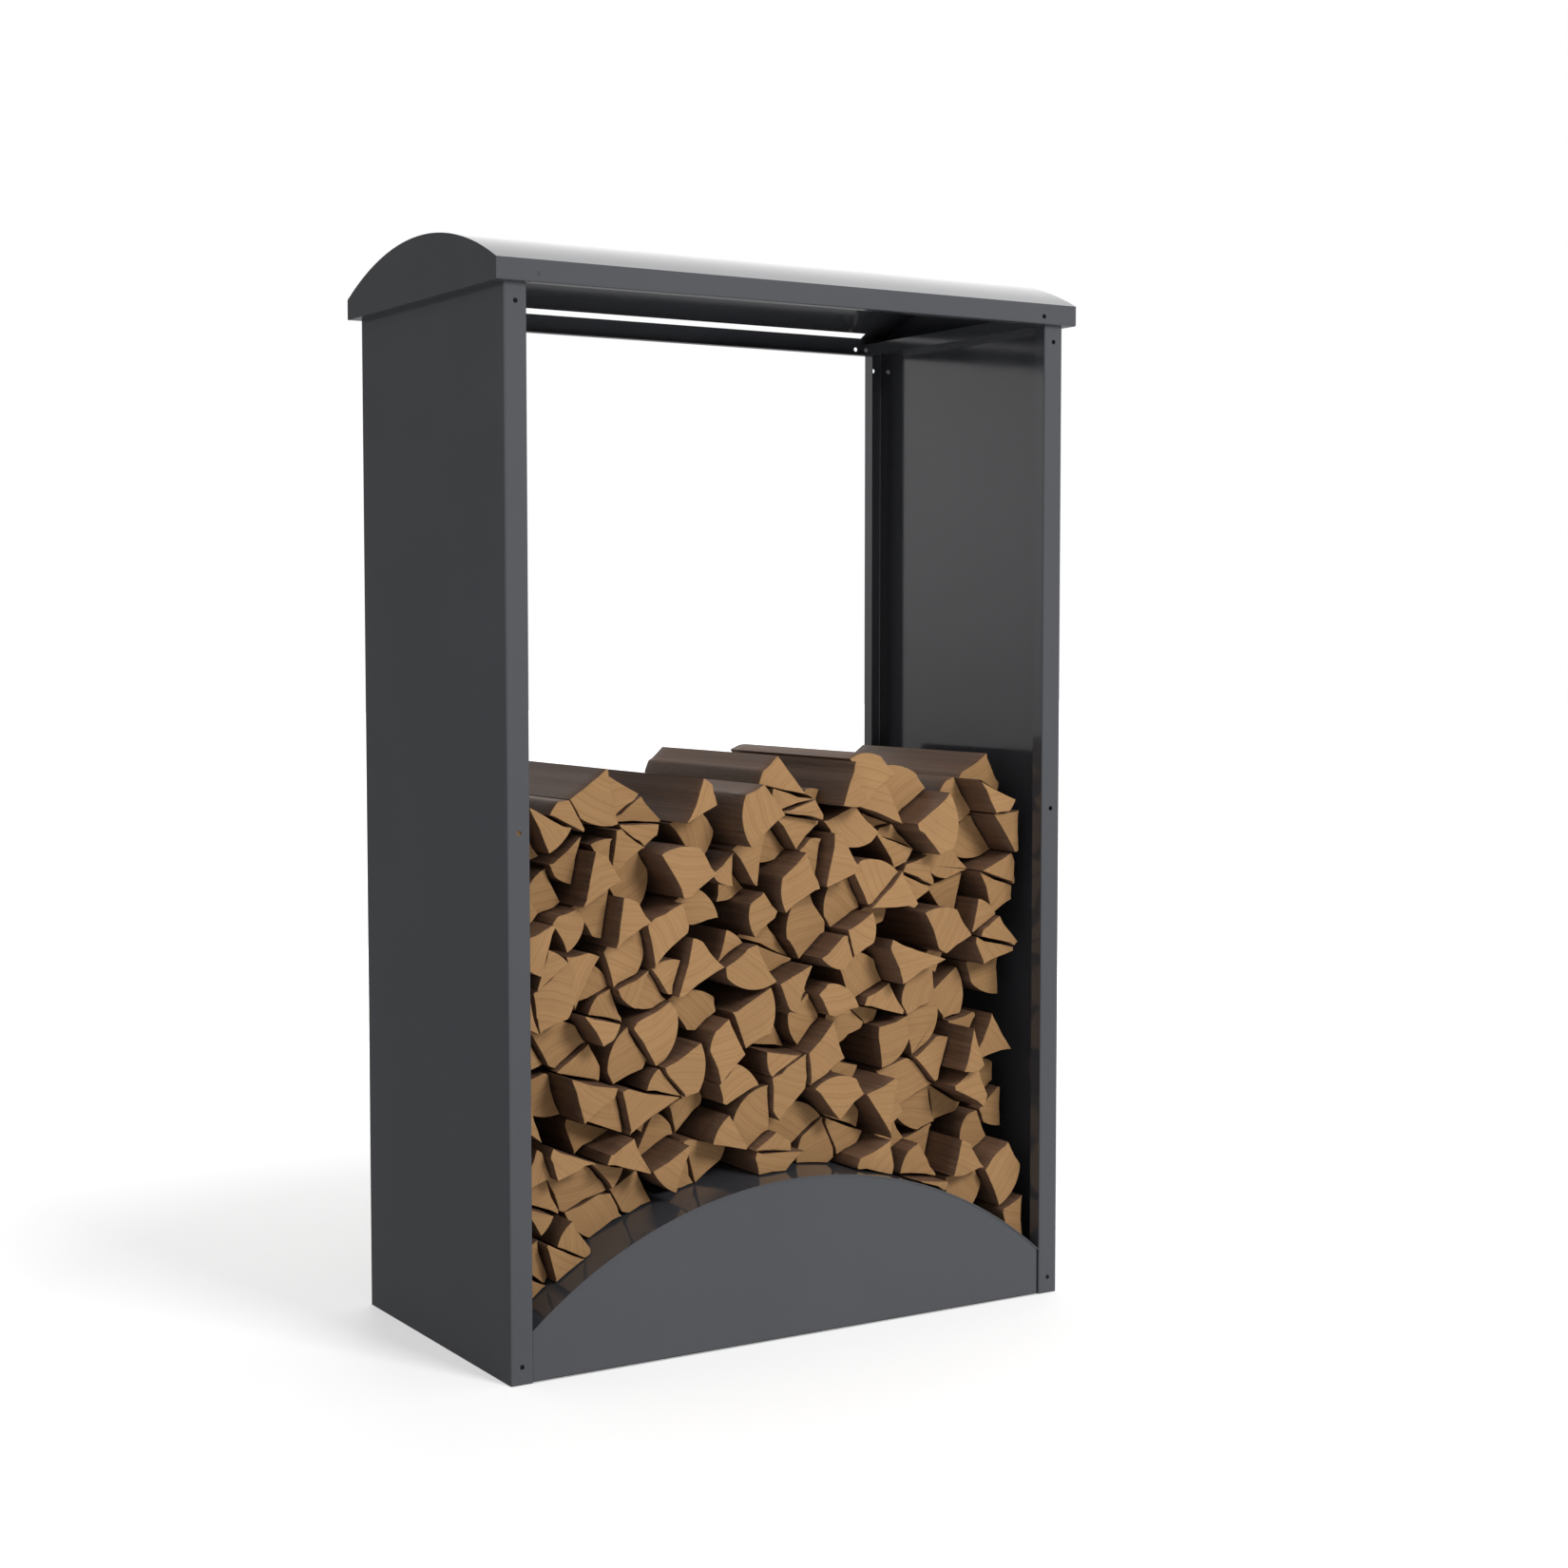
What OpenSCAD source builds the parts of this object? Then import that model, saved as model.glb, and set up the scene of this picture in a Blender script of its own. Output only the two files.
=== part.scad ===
// Open-backed firewood store in folded sheet steel with a barrel roof, an arched floor and a stack of split logs.
// Origin: middle of the footprint, on the ground. +Z is up, -Y is the open front, +X is to the right.

/* [Body] */
// Width over the outer faces of the two side panels
body_w = 1066; // [800:1:1400]
// Depth of the side panels, front flange to rear flange
body_d = 561; // [480:1:800]
// Height of the side panels, which carry the roof
panel_h = 1697; // [1300:1:2200]

/* [Sheet metal] */
// Thickness of the folded sheet
sheet_t = 1.2; // [0.8:0.1:2]
// Outer radius of the folds
bend_r = 3; // [2.2:0.1:4]
// Width of the front, rear and top flanges of a side panel
flange_w = 38; // [30:1:60]
// Depth of the lip that stiffens the front and rear flanges
lip_d = 27; // [15:1:40]

/* [Roof] */
// Overhang of the gables beyond the side panels
side_overhang = 19; // [8:0.5:40]
// Overhang of the fascias beyond the front and rear flanges
end_overhang = 13.5; // [6:0.5:40]
// Height of the front and rear fascias
fascia_h = 34; // [24:1:60]
// Rise of the barrel above the fascias
roof_rise = 68; // [40:1:150]
// Depth of the return along the lower edge of a fascia
fascia_return = 20; // [8:1:40]
// Ventilation slot left between the roof sheet and the rear fascia
vent_slot = 18; // [8:1:40]
// Width of the gable's tabs behind the fascias
gable_tab = 45; // [20:1:55]
// Height of the upstand along the inner edge of a gable's foot
upstand_h = 21; // [10:1:30]

/* [Arched floor] */
// Height of the arch where it meets the side panels' flanges
spring_h = 78; // [60:1:140]
// Rise of the arch above its springing
arch_rise = 186; // [80:1:260]
// Thickness of the arched floor sheet
floor_t = 2; // [1:0.1:3]
// Set-back of an apron behind the face of the flanges
apron_setback = 4.3; // [2:0.1:10]
// How far the floor sheet reaches beyond the face of an apron
floor_nose = 2; // [0.2:0.1:2]
// Gap between an apron's lower edge and the ground
apron_lift = 1.7; // [0:0.1:10]
// Depth of the returns at an apron's ends
apron_return = 22; // [10:1:24]

/* [Holes] */
// Diameter of the fixing holes
hole_d = 8; // [4:0.5:9]
// Distance of the end holes from the ends of a side panel
hole_end = 28; // [15:1:60]
// Height of the middle holes
hole_mid = 860; // [500:5:1200]
// Distance of a fascia's holes from the outer face of the side panel
fascia_hole_in = 50; // [45:1:120]
// Height of a fascia's holes above its lower edge
fascia_hole_up = 12.5; // [8:0.5:18]

/* [Firewood] */
// Length of a split log
log_len = 400; // [250:5:420]
// Mean width of a split log across its bark
log_w = 76; // [60:1:120]
// Mean height of the top of the stack
stack_h = 955; // [600:1:1150]
// How far the front ends stand behind the face of the flanges, at least
log_setback = 36; // [30:1:60]
// How far the front ends are scattered
log_scatter = 104; // [0:1:110]
// Gap between neighbouring logs and below the stack
log_gap = 0.3; // [0.1:0.05:0.6]
// Slant of the layers in the stack
lay_angle = 28; // [0:1:45]
// Share of the places that hold one log rather than two
whole_share = 0.6; // [0:0.01:1]
// Share of the divided places that hold one half only
bare_share = 0.25; // [0:0.01:1]
// Seed of the stack's irregular shapes
stack_seed = 47; // [1:1:200]

/* [Hidden] */
$fn = 96;
eps = 0.01;
half_w = body_w / 2;
half_d = body_d / 2;
roof_w = body_w + 2 * side_overhang;
roof_d = body_d + 2 * end_overhang;
roof_half = roof_d / 2;
roof_r = (pow(roof_half, 2) + pow(roof_rise, 2)) / (2 * roof_rise);
roof_cz = panel_h + fascia_h + roof_rise - roof_r;
// Centre of the fold at the foot of a fascia, in Y and Z
fold_y = roof_half - bend_r;
fold_low = panel_h + bend_r;
clear_half = half_w - flange_w;
arch_r = (pow(clear_half, 2) + pow(arch_rise, 2)) / (2 * arch_rise);
arch_cz = spring_h + arch_rise - arch_r;
fit = 0.2;

// The stack stands between the lips of the flanges
stack_side_gap = 4;
stack_half = clear_half - stack_side_gap;
stack_r = arch_r + floor_t + log_gap;
stack_foot = arch_cz + sqrt(stack_r * stack_r - stack_half * stack_half);
stack_mid = [0, (stack_foot + stack_h) / 2];
piles = 11;
lay_reach = ceil(norm([stack_half, stack_h - stack_mid[1]]) / log_w) + 1;
least_share = 0.4;
crest_share = 0.45;
crest_spread = 10;
crest_wave = 370;
crest_lean = 0.02;
uncut_share = 0.99;
bend_share = 0.2;
bend_wave = 930;
scatter_share = 0.2;
chip_least = 1.5;
chip_spread = 9;

// Plan outline with round corners
module rounded(w, d, r) {
    translate([r, 0]) square([w - 2 * r, d]);
    translate([0, r]) square([w, d - 2 * r]);
    for (x = [r, w - r], y = [r, d - r]) translate([x, y]) circle(r);
}

// Wall of one sheet thickness that follows a rounded outline
module folded_ring(w, d) {
    difference() {
        rounded(w, d, bend_r);
        translate([sheet_t, sheet_t]) rounded(w - 2 * sheet_t, d - 2 * sheet_t, bend_r - sheet_t);
    }
}

// A shape drawn in X and Z, made from y0 to y1
module across(y0, y1) {
    translate([0, y1, 0]) rotate([90, 0, 0]) linear_extrude(height = y1 - y0) children();
}

// A shape drawn in Y and Z, made from x0 to x1
module along(x0, x1) {
    translate([x0, 0, 0]) rotate([90, 0, 90]) linear_extrude(height = x1 - x0) children();
}

// Left side panel: web, front and rear flanges with lips, and a top flange under the gable
module side_panel() {
    difference() {
        union() {
            translate([-half_w, -half_d, 0]) linear_extrude(height = panel_h) difference() {
                folded_ring(flange_w, body_d);
                translate([flange_w / 2, lip_d]) square([flange_w, body_d - 2 * lip_d]);
            }
            translate([-half_w + eps, -half_d + lip_d + bend_r, panel_h - sheet_t])
                cube([flange_w - eps, body_d - 2 * (lip_d + bend_r), sheet_t]);
        }
        for (z = [hole_end, hole_mid, panel_h - hole_end], y = [-half_d, half_d])
            translate([-half_w + flange_w / 2, y, z]) rotate([90, 0, 0])
                cylinder(d = hole_d, h = 4 * sheet_t, center = true);
    }
}

module left_side_panel() {
    color("dimgray") side_panel();
}

module right_side_panel() {
    color("dimgray") mirror([1, 0, 0]) side_panel();
}

// Ring of one sheet thickness
module ring(r) {
    difference() {
        circle(r);
        circle(r - sheet_t);
    }
}

// Outline of the roof's end, in Y and Z, under the roof sheet and inside the folds of the fascias
module gable_outline() {
    foot_half = fold_y - fit;
    wide_half = roof_half - sheet_t - fit / 2;
    intersection() {
        union() {
            translate([-foot_half, panel_h]) square([2 * foot_half, fascia_h + roof_rise]);
            translate([-wide_half, fold_low]) square([2 * wide_half, fascia_h]);
        }
        translate([0, roof_cz]) circle(roof_r - sheet_t, $fn = 360);
    }
}

// Left gable: arched end plate, tabs behind the fascias, and a foot with an upstand on the side panel
module gable() {
    x_out = -half_w - side_overhang;
    x_in = -clear_half;
    foot_half = fold_y - fit;
    tab_y = roof_half - sheet_t - fit / 2;
    tab_h = fascia_h - bend_r - 2 * sheet_t;
    along(x_out, x_out + sheet_t) gable_outline();
    for (y = [-tab_y, tab_y - sheet_t])
        translate([x_out, y, fold_low]) cube([gable_tab, sheet_t, tab_h]);
    translate([x_out, -foot_half, panel_h]) cube([x_in - x_out, 2 * foot_half, sheet_t]);
    translate([x_in - sheet_t, -foot_half, panel_h]) cube([sheet_t, 2 * foot_half, upstand_h]);
}

module left_gable() {
    color("dimgray") gable();
}

module right_gable() {
    color("dimgray") mirror([1, 0, 0]) gable();
}

// Holes through the fascia at y
module fascia_holes(y) {
    for (x = [-half_w + fascia_hole_in, half_w - fascia_hole_in])
        translate([x, y, panel_h + fascia_hole_up]) rotate([90, 0, 0])
            cylinder(d = hole_d, h = 4 * sheet_t, center = true);
}

// Section of the barrel, in Y and Z
module barrel() {
    intersection() {
        translate([0, roof_cz]) ring(roof_r, $fn = 360);
        translate([-roof_half, panel_h + sheet_t]) square([roof_d - sheet_t - fit, fascia_h + roof_rise]);
    }
}

// Section of the rear fascia, in Y and Z: wall, fold and return
module fascia(wall_h) {
    translate([roof_half - sheet_t, fold_low]) square([sheet_t, wall_h - bend_r]);
    translate([fold_y, fold_low]) intersection() {
        ring(bend_r);
        translate([0, -2 * bend_r]) square(2 * bend_r);
    }
    translate([roof_half - fascia_return, panel_h]) square([fascia_return - bend_r, sheet_t]);
}

// Ends of the rear return, cut away to clear the gables' upstands
module return_ends() {
    span = clear_half - 2 * sheet_t;
    for (x = [-roof_w, span])
        translate([x, fold_y - fascia_return, panel_h - sheet_t]) cube([roof_w - span, fascia_return, 3 * sheet_t]);
}

// Barrel roof sheet, folded down at the front into a fascia, with a slot along the rear between the gables
module roof_sheet() {
    color("slategray") difference() {
        along(-roof_w / 2, roof_w / 2) {
            barrel();
            mirror([1, 0]) fascia(fascia_h - 0.5 * sheet_t);
        }
        mirror([0, 1, 0]) return_ends();
        translate([-clear_half, roof_half - vent_slot, panel_h])
            cube([2 * clear_half, vent_slot, fascia_h + roof_rise]);
        fascia_holes(-roof_half);
    }
}

// Rear fascia: a folded strip with a return at its foot
module rear_fascia() {
    color("dimgray") difference() {
        along(-roof_w / 2, roof_w / 2) fascia(fascia_h);
        return_ends();
        fascia_holes(roof_half);
    }
}

// Front apron: arched plate between the flanges, with returns against their lips
module apron() {
    span = 2 * (clear_half - fit);
    intersection() {
        translate([-span / 2, -half_d + apron_setback, apron_lift])
            linear_extrude(height = spring_h + arch_rise) intersection() {
                folded_ring(span, 2 * apron_return);
                square([span, apron_return]);
            }
        across(-half_d, half_d) translate([0, arch_cz]) circle(arch_r, $fn = 360);
    }
}

module front_apron() {
    color("dimgray") apron();
}

module rear_apron() {
    color("dimgray") mirror([0, 1, 0]) apron();
}

// Arched floor sheet from web to web, notched round the flanges, lying on the two aprons
module arched_floor() {
    floor_half = half_w - sheet_t - fit;
    floor_d = half_d - apron_setback + floor_nose;
    notch_w = half_w - clear_half + fit;
    notch_d = lip_d + fit;
    color("darkslategray") difference() {
        across(-floor_d, floor_d) intersection() {
            difference() {
                translate([0, arch_cz]) circle(arch_r + floor_t, $fn = 360);
                translate([0, arch_cz]) circle(arch_r, $fn = 360);
            }
            translate([-floor_half, 0]) square([2 * floor_half, spring_h + arch_rise + floor_t]);
        }
        for (x = [-half_w, half_w - notch_w], y = [-half_d, half_d - notch_d])
            translate([x, y, 0]) cube([notch_w, notch_d, spring_h + arch_rise]);
    }
}

// Irregular numbers that belong to place a, b of the stack: each use has a channel of its own
function chance(a, b, channel, n, low = 0, high = 1) =
    rands(low, high, n, stack_seed * 7919 + channel * 100000 + (a + 60) * 127 + (b + 60));

// Corners of the places: a slanting grid, bent a little and then scattered
function corner_at(a, b) = let (
    grid = log_w * (a * [cos(lay_angle), sin(lay_angle)] + b * [-sin(lay_angle), cos(lay_angle)]),
    bend = bend_share * log_w * [sin(360 * grid[1] / bend_wave + 30), sin(360 * grid[0] / bend_wave)],
    scatter = scatter_share * log_w * chance(a, b, 1, 2, -1, 1)
) stack_mid + grid + bend + scatter;
function place_at(a, b) = [corner_at(a, b), corner_at(a + 1, b), corner_at(a + 1, b + 1), corner_at(a, b + 1)];

// The part of a convex outline behind a line through p that faces n
function cut(outline, p, n) = [for (i = [0:len(outline) - 1]) let (
    a = outline[i],
    b = outline[(i + 1) % len(outline)],
    da = (a - p) * n,
    db = (b - p) * n
) each concat(da <= 0 ? [a] : [], da * db < 0 ? [a + (b - a) * da / (da - db)] : [])];

// Outward direction of side i of an outline, and the outline drawn in from all its sides
function outward(outline, i) = let (
    d = outline[(i + 1) % len(outline)] - outline[i]
) [d[1], -d[0]] / norm(d);
function drawn_in(outline, by, i = 0, inner = undef) = i == len(outline) ? inner : let (
    n = outward(outline, i),
    rest = cut(is_undef(inner) ? outline : inner, outline[i] - n * by, n)
) drawn_in(outline, by, i + 1, rest);

// An outline inside the sides of the stack and over the arched floor
function in_stack(outline) = let (
    m = centre(outline),
    hub = [0, arch_cz],
    u = (m - hub) / norm(m - hub),
    inner = cut(cut(outline, [stack_half, 0], [1, 0]), [-stack_half, 0], [-1, 0])
) len(inner) < 3 ? [] : cut(inner, hub + u * stack_r, -u);

function centre(outline) = [for (k = [0, 1]) let (c = [for (q = outline) q[k]]) (max(c) + min(c)) / 2];
function area(outline) = len(outline) < 3 ? 0 : let (o = outline[0]) [for (i = [1:len(outline) - 2]) let (
    u = outline[i] - o,
    v = outline[i + 1] - o
) (u[0] * v[1] - u[1] * v[0]) / 2] * [for (i = [1:len(outline) - 2]) 1];
function turned(v, angle) = [v[0] * cos(angle) - v[1] * sin(angle), v[0] * sin(angle) + v[1] * cos(angle)];

// Pile that a place belongs to, counted from the left, and whether a place is part of the stack
function pile_of(m) = max(0, min(piles - 1, floor(piles * (m[0] + stack_half) / (2 * stack_half))));
function is_laid(outline) = let (
    m = centre(outline),
    wave = crest_lean * m[0] + crest_spread * sin(360 * m[0] / crest_wave),
    crest = stack_h - crest_share * log_w + wave
) m[1] < crest && area(in_stack(outline)) > least_share * log_w * log_w;

// One split log: its corner is chipped, one split face leans back, and the bark is round about that corner
module split_log(outline, corner, reach, loose, y_front) {
    way = centre(outline) - corner;
    chip = corner + way / norm(way) * (chip_least + chip_spread * loose[0]);
    chipped = cut(outline, chip, turned(-way, 70 * (loose[1] - 0.5)));
    side = [for (i = [0:len(outline) - 1]) if (norm(outline[i] - corner) < eps) i][0];
    lean = 9 * max(0, loose[2] - 0.45);
    shape = cut(chipped, corner, turned(outward(outline, side), -lean));
    across(y_front, y_front + log_len) intersection() {
        polygon(shape);
        translate(corner) circle(reach);
    }
}

// A place holds one log, or two split along a diagonal, of which one may be left out
module filled_place(a, b) {
    outline = place_at(a, b);
    pick = chance(a, b, 2, 7);
    y_front = [for (c = chance(a, b, 3, 2)) -half_d + log_setback + log_scatter * c];
    loose = [chance(a, b, 4, 4), chance(a, b, 5, 4)];
    k = floor(3.999 * pick[1]);
    round_corners = [for (i = [0:3]) outline[(k + i) % 4]];
    bark = [1.015 + 0.06 * pick[2], 1.02 + 0.2 * pick[3]];
    if (pick[0] < whole_share) {
        reach = bark[0] * (norm(round_corners[1] - round_corners[0]) + norm(round_corners[3] - round_corners[0])) / 2;
        bedded(round_corners, 0, reach, loose[0], y_front[0]);
    } else {
        near = [round_corners[0], round_corners[1], round_corners[2]];
        far = [round_corners[0], round_corners[2], round_corners[3]];
        if (pick[6] > bare_share || area(in_stack(outline)) < uncut_share * area(outline))
            bedded(near, pick[4] < 0.6 ? 0 : 2, bark[1] * norm(near[1] - near[0]), loose[0], y_front[0]);
        bedded(far, pick[5] < 0.6 ? 0 : 1, bark[1] * norm(far[2] - far[0]), loose[1], y_front[1]);
    }
}

// A log's outline is drawn in from its neighbours and cut where it lies on the floor or at the stack's side
module bedded(outline, k, reach, loose, y_front) {
    inner = drawn_in(in_stack(outline), log_gap / 2);
    d = [for (q = inner) norm(q - outline[k])];
    if (area(inner) > 0.1 * log_w * log_w)
        split_log(inner, inner[search(min(d), d)[0]], reach, loose, y_front);
}

// Pile j of the stack, counted from the left
module pile(j) {
    color("burlywood") for (a = [-lay_reach:lay_reach], b = [-lay_reach:lay_reach]) {
        outline = place_at(a, b);
        if (is_laid(outline) && pile_of(centre(outline)) == j) filled_place(a, b);
    }
}

left_side_panel();
right_side_panel();
left_gable();
right_gable();
roof_sheet();
rear_fascia();
front_apron();
rear_apron();
arched_floor();
pile(0);  // firewood_pile_1
pile(1);  // firewood_pile_2
pile(2);  // firewood_pile_3
pile(3);  // firewood_pile_4
pile(4);  // firewood_pile_5
pile(5);  // firewood_pile_6
pile(6);  // firewood_pile_7
pile(7);  // firewood_pile_8
pile(8);  // firewood_pile_9
pile(9);  // firewood_pile_10
pile(10);  // firewood_pile_11
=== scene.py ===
import math
import random

import bmesh
import bpy
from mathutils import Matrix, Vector, noise


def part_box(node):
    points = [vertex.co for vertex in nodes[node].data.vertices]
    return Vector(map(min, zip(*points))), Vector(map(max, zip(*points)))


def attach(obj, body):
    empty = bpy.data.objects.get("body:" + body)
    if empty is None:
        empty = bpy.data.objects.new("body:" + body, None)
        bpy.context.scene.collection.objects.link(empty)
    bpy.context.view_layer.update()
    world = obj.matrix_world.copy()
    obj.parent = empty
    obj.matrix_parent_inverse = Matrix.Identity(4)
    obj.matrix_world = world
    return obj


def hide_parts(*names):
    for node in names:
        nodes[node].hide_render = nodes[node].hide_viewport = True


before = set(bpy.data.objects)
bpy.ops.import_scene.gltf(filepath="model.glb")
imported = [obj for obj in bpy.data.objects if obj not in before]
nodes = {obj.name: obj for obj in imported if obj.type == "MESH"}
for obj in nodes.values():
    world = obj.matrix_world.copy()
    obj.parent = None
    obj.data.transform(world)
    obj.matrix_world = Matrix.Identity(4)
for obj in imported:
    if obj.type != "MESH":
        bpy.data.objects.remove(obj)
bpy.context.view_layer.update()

# Camera: place in metres, turns in degrees, lens and sensor in millimetres
CAMERA_AT = (-2.1688, -3.7115, 1.1672)
CAMERA_YAW = 31.872
CAMERA_PITCH = 3.497
CAMERA_LENS = 56.911
CAMERA_SENSOR = 36.0
CAMERA_FAR = 200.0

# Sheet steel: softened edges in metres, and the two tones of the coat
SOFT_EDGE = 0.0003
SOFT_ANGLE = math.radians(40)
COAT_DARK = (0.054, 0.0565, 0.065)
COAT_PALE = (0.06, 0.0627, 0.072)

# Logs, in metres
PILE_PREFIX = "firewood"
FIRST_SEED = 900
OUTLINE_STEP = 0.0055
LOG_RINGS = 13
END_CHAMFER = 0.0008
CHAMFER_SLOPE = 0.7
END_LEAN = 0.02
CORNER_WEAR = 0.0004
SHARP_ANGLE = math.radians(42)

# Bark face: sides of the outline that are short and turn little
BARK_TURN = math.radians(14)
BARK_SIDE = 0.02

# Kinks of a split face: their depth, the shortest face that has them, and the face with full depth
KINK_DEPTH = 0.0045
KINK_SHORTEST = 0.024
KINK_FULL = 0.08

# Unevenness of a face: least depth, depth of broad and of fine waves, and waves along the log
SPLIT_SKIN = (0.0002, 0.0009, 0.0003, 3)
BARK_SKIN = (0.0002, 0.0006, 0.0004, 9)
SKIN_WAVES = 70
FINE_WAVES = 2.7

# Centre of the growth lines: mostly above or below the log, some log sizes away
HEART_SWING = 0.6
HEART_NEAR = 2.2
HEART_FAR = 7.0

# Place of each material in a log's list
END, SPLIT, BARK = 0, 1, 2

# Colours of the wood; the ends lie between two tones
END_PALE = ((0.372, 0.216, 0.098), (0.428, 0.249, 0.114))
END_LATE = ((0.29, 0.162, 0.071), (0.345, 0.195, 0.086))
END_PORE = (0.216, 0.12, 0.055)
SPLIT_PALE = (0.19, 0.108, 0.066)
SPLIT_DARK = (0.08, 0.044, 0.028)
BARK_PALE = (0.174, 0.1, 0.062)
BARK_DARK = (0.072, 0.041, 0.026)

# Studio floor: a plane that glows white further away, in metres
FLOOR_SIZE = 60.0
FLOOR_LEVEL = -0.0004
FLOOR_NEAR = 1.2
FLOOR_FAR = 3.5
FLOOR_GLOW = 0.42

# Studio surroundings: light on all sides, and what the glossy sheets mirror
SKY_LEVEL = 0.45
DIM_AZIMUTH = math.radians(-18)
DIM_REACH = math.radians(10)
DIM_SOFT = math.radians(3)
DIM_LEVEL = 0.17
DIM_TOP = 0.35
DIM_FADE = 0.6
LOW_LEVEL = 0.27
LOW_START = 0.07
LOW_END = -0.14
BEHIND_END = 0.3
STEEP_SHARE = 0.6
STEEP_START = -0.4
STEEP_END = -0.55

# Studio lamps: name, place, target, size, power, and whether the glossy sheets mirror it
LAMPS = (
    ("key_lamp", (1.05, -5.0, 3.6), (0.0, 0.0, 0.9), 1.6, 205.0, False),
    ("back_lamp", (2.6, 3.4, 4.4), (0.0, 0.0, 1.75), 4.0, 22.0, True),
    ("rear_lamp", (1.6, 4.6, 1.5), (0.0, 0.2, 0.6), 2.0, 70.0, False),
)


# Helpers for shader nodes
class Nodes:
    def __init__(self, tree):
        self.tree = tree

    def add(self, kind, **values):
        node = self.tree.nodes.new(kind)
        for key, value in values.items():
            setattr(node, key, value)
        return node

    def link(self, source, target):
        self.tree.links.new(source, target)

    def feed(self, target, value):
        if isinstance(value, bpy.types.NodeSocket):
            self.link(value, target)
        else:
            target.default_value = value

    def math(self, operation, a, b=0.0):
        node = self.add("ShaderNodeMath", operation=operation)
        self.feed(node.inputs[0], a)
        self.feed(node.inputs[1], b)
        return node.outputs[0]

    def vector_math(self, operation, a, b=(0.0, 0.0, 0.0)):
        node = self.add("ShaderNodeVectorMath", operation=operation)
        self.feed(node.inputs[0], a)
        self.feed(node.inputs[1], b)
        return node.outputs["Value"] if operation == "LENGTH" else node.outputs[0]

    def split(self, vector):
        node = self.add("ShaderNodeSeparateXYZ")
        self.link(vector, node.inputs[0])
        return node.outputs["X"], node.outputs["Y"], node.outputs["Z"]

    def noise(self, vector, scale, detail, rough, dimensions="3D"):
        node = self.add("ShaderNodeTexNoise", noise_dimensions=dimensions)
        self.feed(node.inputs["W" if dimensions == "1D" else "Vector"], vector)
        node.inputs["Scale"].default_value = scale
        node.inputs["Detail"].default_value = detail
        node.inputs["Roughness"].default_value = rough
        return node.outputs["Fac"]

    def ramp(self, value, stops):
        node = self.add("ShaderNodeValToRGB")
        for element, (place, colour) in zip(node.color_ramp.elements, stops):
            element.position = place
            element.color = (*colour, 1.0)
        self.link(value, node.inputs["Fac"])
        return node.outputs["Color"]

    def spread(self, value, low, high, to_low=0.0, to_high=1.0, kind="LINEAR"):
        node = self.add("ShaderNodeMapRange", clamp=True, interpolation_type=kind)
        self.link(value, node.inputs["Value"])
        node.inputs["From Min"].default_value = low
        node.inputs["From Max"].default_value = high
        node.inputs["To Min"].default_value = to_low
        node.inputs["To Max"].default_value = to_high
        return node.outputs["Result"]

    def mix(self, factor, a, b):
        node = self.add("ShaderNodeMix", data_type="RGBA")
        self.feed(node.inputs["Factor"], factor)
        for key, colour in (("A", a), ("B", b)):
            is_socket = isinstance(colour, bpy.types.NodeSocket)
            self.feed(node.inputs[key], colour if is_socket else (*colour, 1.0))
        return node.outputs["Result"]

    def bump(self, height, strength, distance):
        node = self.add("ShaderNodeBump")
        node.inputs["Strength"].default_value = strength
        node.inputs["Distance"].default_value = distance
        self.link(height, node.inputs["Height"])
        return node.outputs["Normal"]

    def attribute(self, name, output="Vector"):
        return self.add("ShaderNodeAttribute", attribute_name=name).outputs[output]


class Shader(Nodes):
    def __init__(self, name):
        self.material = bpy.data.materials.new(name)
        self.material.use_nodes = True
        super().__init__(self.material.node_tree)
        self.inputs = self.tree.nodes["Principled BSDF"].inputs


def scaled(colour, factor):
    return [factor * c for c in colour]


# Anthracite powder coat: a fine orange-peel skin, slightly uneven in gloss and tone
def powder_coat():
    s = Shader("anthracite_powder_coat")
    place = s.add("ShaderNodeTexCoord").outputs["Object"]
    cloud = s.noise(place, scale=2.6, detail=3.0, rough=0.55)
    s.link(s.ramp(cloud, [(0.3, COAT_DARK), (0.7, COAT_PALE)]), s.inputs["Base Color"])
    gloss = s.noise(place, scale=9.0, detail=4.0, rough=0.6)
    s.link(s.spread(gloss, 0.3, 0.7, 0.1, 0.14), s.inputs["Roughness"])
    s.inputs["Specular IOR Level"].default_value = 0.5
    peel = s.noise(place, scale=520.0, detail=2.0, rough=0.5)
    s.link(s.bump(peel, strength=0.05, distance=0.0004), s.inputs["Normal"])
    return s.material


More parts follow.
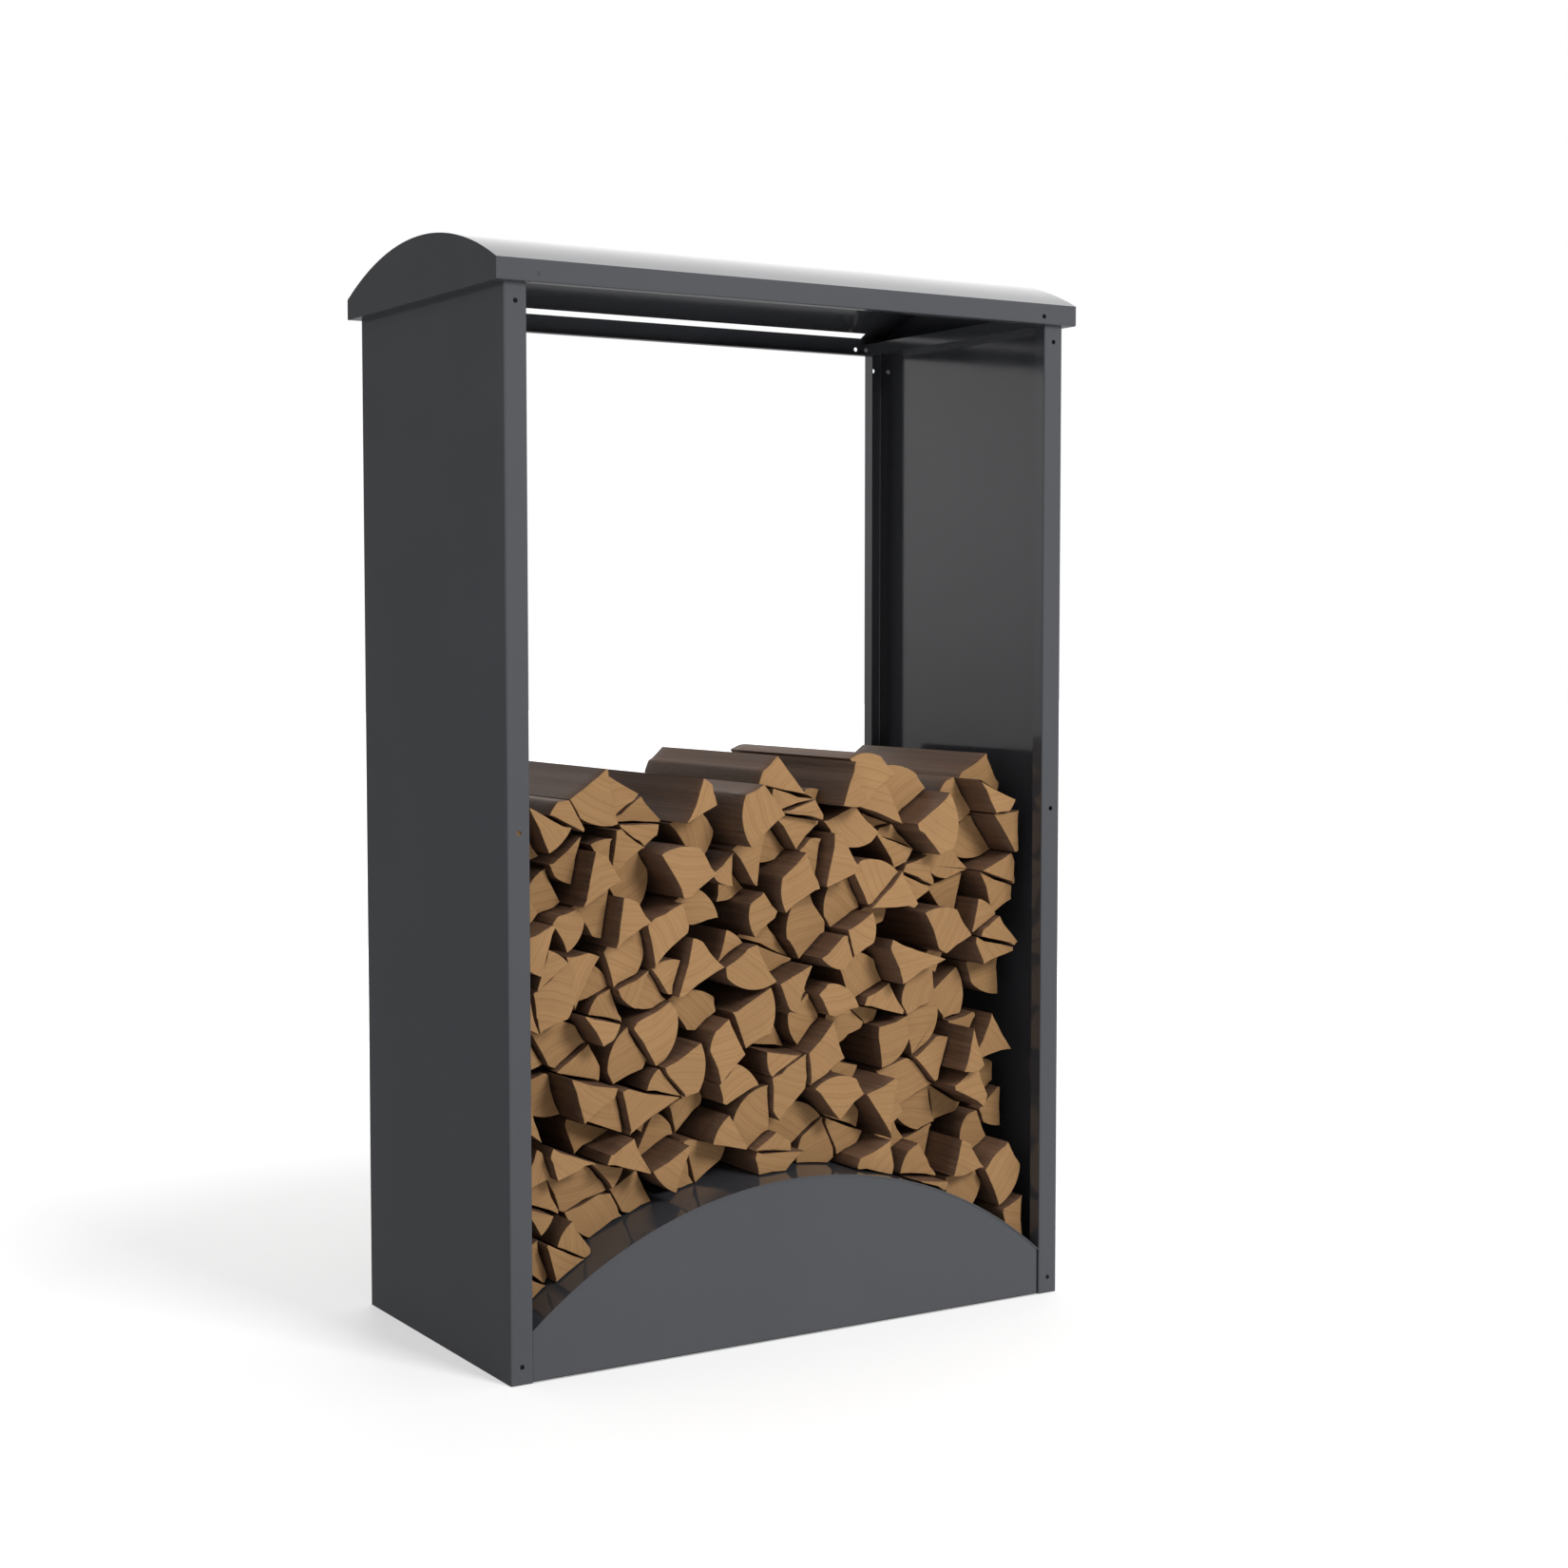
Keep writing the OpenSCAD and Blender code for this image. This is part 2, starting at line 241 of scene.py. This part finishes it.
# Sawn end of a log: fine, nearly straight growth lines and pores
def end_grain():
    s = Shader("log_end_grain")
    grain = s.attribute("grain")
    tone = s.attribute("tone", "Fac")
    flat = s.vector_math("MULTIPLY", grain, (1.0, 1.0, 0.0))
    wander = s.noise(grain, scale=16.0, detail=2.0, rough=0.5)
    reach = s.math("ADD", s.vector_math("LENGTH", flat), s.math("MULTIPLY", wander, 0.012))
    broad = s.noise(reach, scale=95.0, detail=2.0, rough=0.55, dimensions="1D")
    fine = s.noise(reach, scale=310.0, detail=2.0, rough=0.6, dimensions="1D")
    pale = s.mix(tone, *END_PALE)
    late = s.mix(tone, *END_LATE)
    line = s.math("ADD", s.spread(fine, 0.4, 0.68, 0.0, 0.6), s.spread(broad, 0.4, 0.65, 0.0, 0.4))
    wood = s.mix(line, pale, late)
    pore = s.noise(grain, scale=1100.0, detail=2.0, rough=0.6)
    wood = s.mix(s.spread(pore, 0.45, 0.75, 0.0, 0.2), wood, END_PORE)
    stain = s.noise(grain, scale=14.0, detail=3.0, rough=0.6)
    wood = s.mix(s.spread(stain, 0.5, 0.8, 0.0, 0.22), wood, END_PORE)
    s.link(wood, s.inputs["Base Color"])
    s.link(s.spread(pore, 0.2, 0.8, 0.66, 0.86), s.inputs["Roughness"])
    s.inputs["Specular IOR Level"].default_value = 0.2
    stretched = s.vector_math("MULTIPLY", grain, (90.0, 800.0, 60.0))
    saw = s.noise(stretched, scale=1.0, detail=2.0, rough=0.5)
    height = s.math("ADD", s.math("MULTIPLY", line, -0.5), s.math("MULTIPLY", saw, 0.6))
    s.link(s.bump(height, strength=0.2, distance=0.0006), s.inputs["Normal"])
    return s.material


# Long side of a log: brown fibres that run with the length; bark is finely fissured, with the fissures'
# depth as a bump and painted shade darkening them
def log_side(name, pale, dark, fissures):
    s = Shader(name)
    along = s.attribute("along")
    tone = s.attribute("tone", "Fac")
    narrow = s.vector_math("MULTIPLY", along, (330.0, 6.0, 1.0))
    wide = s.vector_math("MULTIPLY", along, (85.0, 2.2, 1.0))
    fibre = s.noise(narrow, scale=1.0, detail=4.0, rough=0.6)
    streak = s.noise(wide, scale=1.0, detail=3.0, rough=0.6)
    wood = s.mix(s.spread(fibre, 0.32, 0.68), dark, pale)
    wood = s.mix(s.spread(streak, 0.45, 0.75, 0.0, 0.5), wood, scaled(dark, 0.6))
    wood = s.mix(s.math("MULTIPLY", tone, 0.35), wood, scaled(pale, 1.3))
    height = s.math("ADD", s.math("MULTIPLY", fibre, 0.6), s.math("MULTIPLY", streak, 0.8))
    if fissures:
        cell = s.add("ShaderNodeTexVoronoi", feature="DISTANCE_TO_EDGE")
        s.link(s.vector_math("MULTIPLY", along, (130.0, 20.0, 1.0)), cell.inputs["Vector"])
        fissure_with_painted_shade = s.spread(cell.outputs["Distance"], 0.0, 0.14, 1.0, 0.0)
        # Painted shade: the bark colour darkens inside its fissures; the same mask also sinks them as a
        # bump
        wood = s.mix(s.math("MULTIPLY", fissure_with_painted_shade, 0.45), wood, scaled(dark, 0.45))
        height = s.math("SUBTRACT", height, s.math("MULTIPLY", fissure_with_painted_shade, 0.7))
    s.link(wood, s.inputs["Base Color"])
    s.link(s.spread(fibre, 0.2, 0.8, 0.46, 0.7), s.inputs["Roughness"])
    s.inputs["Specular IOR Level"].default_value = 0.38
    s.link(s.bump(height, strength=0.4, distance=0.001), s.inputs["Normal"])
    return s.material


# Sheet steel: the solids stay, with softened edges
def coat_steel(node, steel):
    node.data.materials.clear()
    node.data.materials.append(steel)
    bevel = node.modifiers.new("softened_edges", "BEVEL")
    bevel.width = SOFT_EDGE
    bevel.segments = 2
    bevel.limit_method = "ANGLE"
    bevel.angle_limit = SOFT_ANGLE
    bevel.harden_normals = False


# The separate solids of a node, each as a list of vertex numbers
def islands(mesh):
    near = {v.index: [] for v in mesh.vertices}
    place = {}
    for v in mesh.vertices:
        key = tuple(round(c, 5) for c in v.co)
        if key in place:
            near[v.index].append(place[key])
            near[place[key]].append(v.index)
        else:
            place[key] = v.index
    for e in mesh.edges:
        a, b = e.vertices
        near[a].append(b)
        near[b].append(a)
    seen = set()
    groups = []
    for start in near:
        if start in seen:
            continue
        group = []
        todo = [start]
        seen.add(start)
        while todo:
            v = todo.pop()
            group.append(v)
            for w in near[v]:
                if w not in seen:
                    seen.add(w)
                    todo.append(w)
        groups.append(group)
    return groups


# Outline of a convex end face in X and Z, counter-clockwise
def convex_outline(points):
    points = sorted(set((round(x, 6), round(z, 6)) for x, z in points))

    def half(run):
        hull = []
        for p in run:
            while len(hull) > 1:
                (ax, ay), (bx, by) = hull[-2], hull[-1]
                if (bx - ax) * (p[1] - ay) - (by - ay) * (p[0] - ax) > 1e-12:
                    break
                hull.pop()
            hull.append(p)
        return hull[:-1]

    return [Vector(p) for p in half(points) + half(points[::-1])]


# Which sides of an outline belong to the round bark face
def bark_sides(outline):
    n = len(outline)
    side = [(outline[(i + 1) % n] - outline[i]) for i in range(n)]
    turn = [abs(side[i - 1].angle_signed(side[i], 0.0)) for i in range(n)]
    bark = []
    for i in range(n):
        gentle = min(turn[i], turn[(i + 1) % n]) < BARK_TURN
        bark.append(gentle and side[i].length < BARK_SIDE)
    return bark


# Depth of a split face's kinks, from one end of the face to the other
def kinks(length, rng):
    if length < KINK_SHORTEST:
        return [(0.0, 0.0), (1.0, 0.0)]
    deep = KINK_DEPTH * min(1.0, length / KINK_FULL)
    first = rng.uniform(0.15, 0.6)
    second = rng.uniform(first + 0.15, 0.92)
    first_depth = deep * rng.uniform(0.1, 1.0)
    second_depth = deep * rng.uniform(0.0, 1.0)
    return [(0.0, 0.0), (first, first_depth), (second, second_depth), (1.0, 0.0)]


def depth_at(profile, t):
    for (t0, d0), (t1, d1) in zip(profile, profile[1:]):
        if t <= t1:
            return d0 + (d1 - d0) * (t - t0) / (t1 - t0)
    return 0.0


# Points round an outline, each with whether it starts a bark side and whether it is a sharp corner
def spaced(outline, rng):
    bark = bark_sides(outline)
    n = len(outline)
    points = []
    for i, a in enumerate(outline):
        b = outline[(i + 1) % n]
        side = b - a
        inward = Vector((-side.y, side.x)).normalized()
        steps = max(1, round(side.length / OUTLINE_STEP))
        places = [k / steps for k in range(steps)]
        profile = [(0.0, 0.0), (1.0, 0.0)]
        if not bark[i]:
            profile = kinks(side.length, rng)
            for t, _ in profile[1:-1]:
                near = min(range(steps), key=lambda k: abs(places[k] - t))
                if near:
                    places[near] = t
        for t in sorted(places):
            corner = t == 0.0 and not (bark[i] and bark[i - 1])
            points.append((a.lerp(b, t) + inward * depth_at(profile, t), bark[i], corner))
    return points


# One log between its front and back ends: rings of points, closed by chamfered ends that lean a little
def build_log(bm, layers, points, front, back, rng):
    tone = rng.random()
    n = len(points)
    middle = sum((p for p, _, _ in points), Vector((0.0, 0.0))) / n
    size = max((p - middle).length for p, _, _ in points)
    turn = rng.gauss(0.5 * math.pi, HEART_SWING) + math.pi * rng.randint(0, 1)
    reach = rng.uniform(HEART_NEAR, HEART_FAR)
    heart = middle + reach * size * Vector((math.cos(turn), math.sin(turn)))
    shift = rng.uniform(0, 60)
    tilt = []
    for _ in (front, back):
        tilt.append(Vector((rng.uniform(-END_LEAN, END_LEAN), rng.uniform(-END_LEAN, END_LEAN))))
    inward = []
    for i in range(n):
        chord = points[(i + 1) % n][0] - points[i - 1][0]
        inward.append(Vector((-chord.y, chord.x)).normalized())
    length = back - front
    run = [0.0]
    for i in range(n):
        run.append(run[-1] + (points[(i + 1) % n][0] - points[i][0]).length)

    def skin(i, y):
        p, is_bark, corner = points[i]
        least, broad, fine, waves = BARK_SKIN if is_bark else SPLIT_SKIN
        place = Vector((p.x * SKIN_WAVES + shift, y * waves, p.y * SKIN_WAVES))
        wave = 0.5 + 0.5 * noise.noise(place)
        ripple = 0.5 + 0.5 * noise.noise(place * FINE_WAVES)
        depth = least + broad * wave + fine * ripple
        return p + inward[i] * (depth + (CORNER_WEAR if corner else 0.0))

    def end_y(p, which):
        lean = tilt[which].dot(p - middle) - END_LEAN * size
        return (front - lean) if which == 0 else (back + lean)

    def new_face(verts, material, along):
        face = bm.faces.new(verts)
        face.material_index = material
        face.smooth = material != END
        for loop, place in zip(face.loops, along):
            co = loop.vert.co
            loop[layers["grain"]] = (co.x - heart.x, co.z - heart.y, co.y + shift)
            loop[layers["along"]] = place
            loop[layers["tone"]] = tone

    rows = []
    for r in range(LOG_RINGS + 1):
        t = r / LOG_RINGS
        row = []
        for i in range(n):
            q = skin(i, front + length * t)
            low = end_y(q, 0) + END_CHAMFER
            high = end_y(q, 1) - END_CHAMFER
            row.append(bm.verts.new((q.x, low + (high - low) * t, q.y)))
        rows.append(row)

    for r in range(LOG_RINGS):
        for i in range(n):
            quad = []
            along = []
            for k, ring in ((i + 1, r), (i, r), (i, r + 1), (i + 1, r + 1)):
                vert = rows[ring][k % n]
                quad.append(vert)
                along.append((run[k], vert.co.y, shift))
            new_face(quad, BARK if points[i][1] else SPLIT, along)

    for which, row in ((0, rows[0]), (1, rows[-1])):
        order = 1 if which == 0 else -1
        cap = []
        for i in range(n):
            q = Vector((row[i].co.x, row[i].co.z)) + inward[i] * END_CHAMFER * CHAMFER_SLOPE
            cap.append(bm.verts.new((q.x, end_y(q, which), q.y)))
        for i in range(n):
            j = (i + 1) % n
            quad = (row[i], row[j], cap[j], cap[i])
            new_face(quad[::order], END, [(0, 0, 0)] * 4)
        new_face(cap[::order], END, [(0, 0, 0)] * n)


# Split logs: each solid of a pile gets kinked split faces, rough bark and sawn ends, inside its outline
def dress_pile(name, number, materials):
    solid = nodes[name].data
    rng = random.Random(FIRST_SEED + number)
    bm = bmesh.new()
    layers = {
        "grain": bm.loops.layers.float_vector.new("grain"),
        "along": bm.loops.layers.float_vector.new("along"),
        "tone": bm.loops.layers.float.new("tone"),
    }
    for group in islands(solid):
        co = [solid.vertices[v].co for v in group]
        front = min(c.y for c in co)
        back = max(c.y for c in co)
        outline = convex_outline([(c.x, c.z) for c in co if c.y - front < 1e-4])
        build_log(bm, layers, spaced(outline, rng), front, back, rng)
    mesh = bpy.data.meshes.new(name + "_split_logs")
    bm.to_mesh(mesh)
    bm.free()
    for material in materials:
        mesh.materials.append(material)
    mesh.set_sharp_from_angle(angle=SHARP_ANGLE)
    piece = bpy.data.objects.new(name + "_split_logs", mesh)
    bpy.context.collection.objects.link(piece)
    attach(piece, "root")
    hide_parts(name)


# Pale floor: white to the eye, with the object's shadow, and dark inside the footprint
def add_floor():
    bpy.ops.mesh.primitive_plane_add(size=FLOOR_SIZE, location=(0.0, 0.0, FLOOR_LEVEL))
    floor = bpy.context.object
    floor.name = "studio_floor"
    footprint = [max(abs(corner[k]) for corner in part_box("left_side_panel")) for k in (0, 1)]
    s = Shader("studio_floor")
    s.inputs["Base Color"].default_value = (0.8, 0.8, 0.8, 1.0)
    s.inputs["Roughness"].default_value = 0.9
    s.inputs["Specular IOR Level"].default_value = 0.1
    path = s.add("ShaderNodeLightPath")
    seen = s.math("MAXIMUM", path.outputs["Is Camera Ray"], path.outputs["Is Glossy Ray"])
    seen = s.math("MAXIMUM", seen, path.outputs["Is Transmission Ray"])
    place = s.add("ShaderNodeTexCoord").outputs["Object"]
    away = s.spread(s.vector_math("LENGTH", place), FLOOR_NEAR, FLOOR_FAR, FLOOR_GLOW, 1.0)
    x, y, _ = s.split(s.vector_math("ABSOLUTE", s.vector_math("DIVIDE", place, (*footprint, 1.0))))
    outside = s.math("GREATER_THAN", s.math("MAXIMUM", x, y), 1.0)
    s.inputs["Emission Color"].default_value = (1.0, 1.0, 1.0, 1.0)
    glow = s.math("MULTIPLY", s.math("MULTIPLY", seen, away), outside)
    s.link(glow, s.inputs["Emission Strength"])
    floor.data.materials.append(s.material)
    floor.visible_glossy = False


# White surroundings; in the gloss they have a dim panel behind on the left and a dim floor behind
def add_world():
    world = bpy.data.worlds.new("studio_world")
    bpy.context.scene.world = world
    world.use_nodes = True
    s = Nodes(world.node_tree)
    background = s.tree.nodes["Background"]
    path = s.add("ShaderNodeLightPath")
    x, y, z = s.split(s.add("ShaderNodeTexCoord").outputs["Generated"])

    def smooth(value, start, end):
        return s.spread(value, start, end, kind="SMOOTHSTEP")

    heading = s.math("ARCTAN2", x, y)
    aside = s.math("ABSOLUTE", s.math("SUBTRACT", heading, DIM_AZIMUTH))
    panel = smooth(aside, DIM_REACH + DIM_SOFT, DIM_REACH)
    panel = s.math("MULTIPLY", panel, smooth(z, DIM_FADE, DIM_TOP))
    low = s.math("MULTIPLY", smooth(z, LOW_START, LOW_END), smooth(y, 0.0, BEHIND_END))
    steep = s.math("MULTIPLY", smooth(z, STEEP_START, STEEP_END), STEEP_SHARE)
    low = s.math("MULTIPLY", low, s.math("SUBTRACT", 1.0, steep))
    dim_panel = s.math("MULTIPLY", panel, 1.0 - DIM_LEVEL)
    dim_low = s.math("MULTIPLY", low, 1.0 - LOW_LEVEL)
    mirror = s.math("SUBTRACT", 1.0, s.math("MAXIMUM", dim_panel, dim_low))

    mirrored = s.math("MULTIPLY", path.outputs["Is Glossy Ray"], mirror)
    seen = s.math("MAXIMUM", path.outputs["Is Camera Ray"], path.outputs["Is Transmission Ray"])
    seen = s.math("MAXIMUM", seen, mirrored)
    other = s.math("SUBTRACT", 1.0, s.math("MAXIMUM", path.outputs["Is Glossy Ray"], seen))
    strength = s.math("ADD", seen, s.math("MULTIPLY", other, SKY_LEVEL))
    s.link(strength, background.inputs["Strength"])
    background.inputs["Color"].default_value = (1.0, 1.0, 1.0, 1.0)


def add_lamp(name, place, target, size, power, mirrored):
    light = bpy.data.lights.new(name, "AREA")
    light.shape = "SQUARE"
    light.size = size
    light.energy = power
    lamp = bpy.data.objects.new(name, light)
    bpy.context.collection.objects.link(lamp)
    lamp.location = place
    lamp.rotation_euler = (Vector(target) - Vector(place)).to_track_quat("-Z", "Y").to_euler()
    lamp.visible_glossy = mirrored


def add_camera():
    data = bpy.data.cameras.new("photo_camera")
    data.sensor_width = CAMERA_SENSOR
    data.lens = CAMERA_LENS
    data.clip_end = CAMERA_FAR
    camera = bpy.data.objects.new("photo_camera", data)
    bpy.context.collection.objects.link(camera)
    camera.location = CAMERA_AT
    camera.rotation_euler = (math.radians(90 - CAMERA_PITCH), 0.0, math.radians(-CAMERA_YAW))
    bpy.context.scene.camera = camera


# The store and its logs
steel = powder_coat()
log_materials = (
    end_grain(),
    log_side("log_split_face", SPLIT_PALE, SPLIT_DARK, False),
    log_side("log_bark", BARK_PALE, BARK_DARK, True),
)
for name, node in nodes.items():
    if not name.startswith(PILE_PREFIX):
        coat_steel(node, steel)
for number, name in enumerate(sorted(n for n in nodes if n.startswith(PILE_PREFIX))):
    dress_pile(name, number, log_materials)

# The studio
add_floor()
add_world()
for lamp in LAMPS:
    add_lamp(*lamp)
add_camera()
bpy.context.scene.view_settings.view_transform = "Standard"
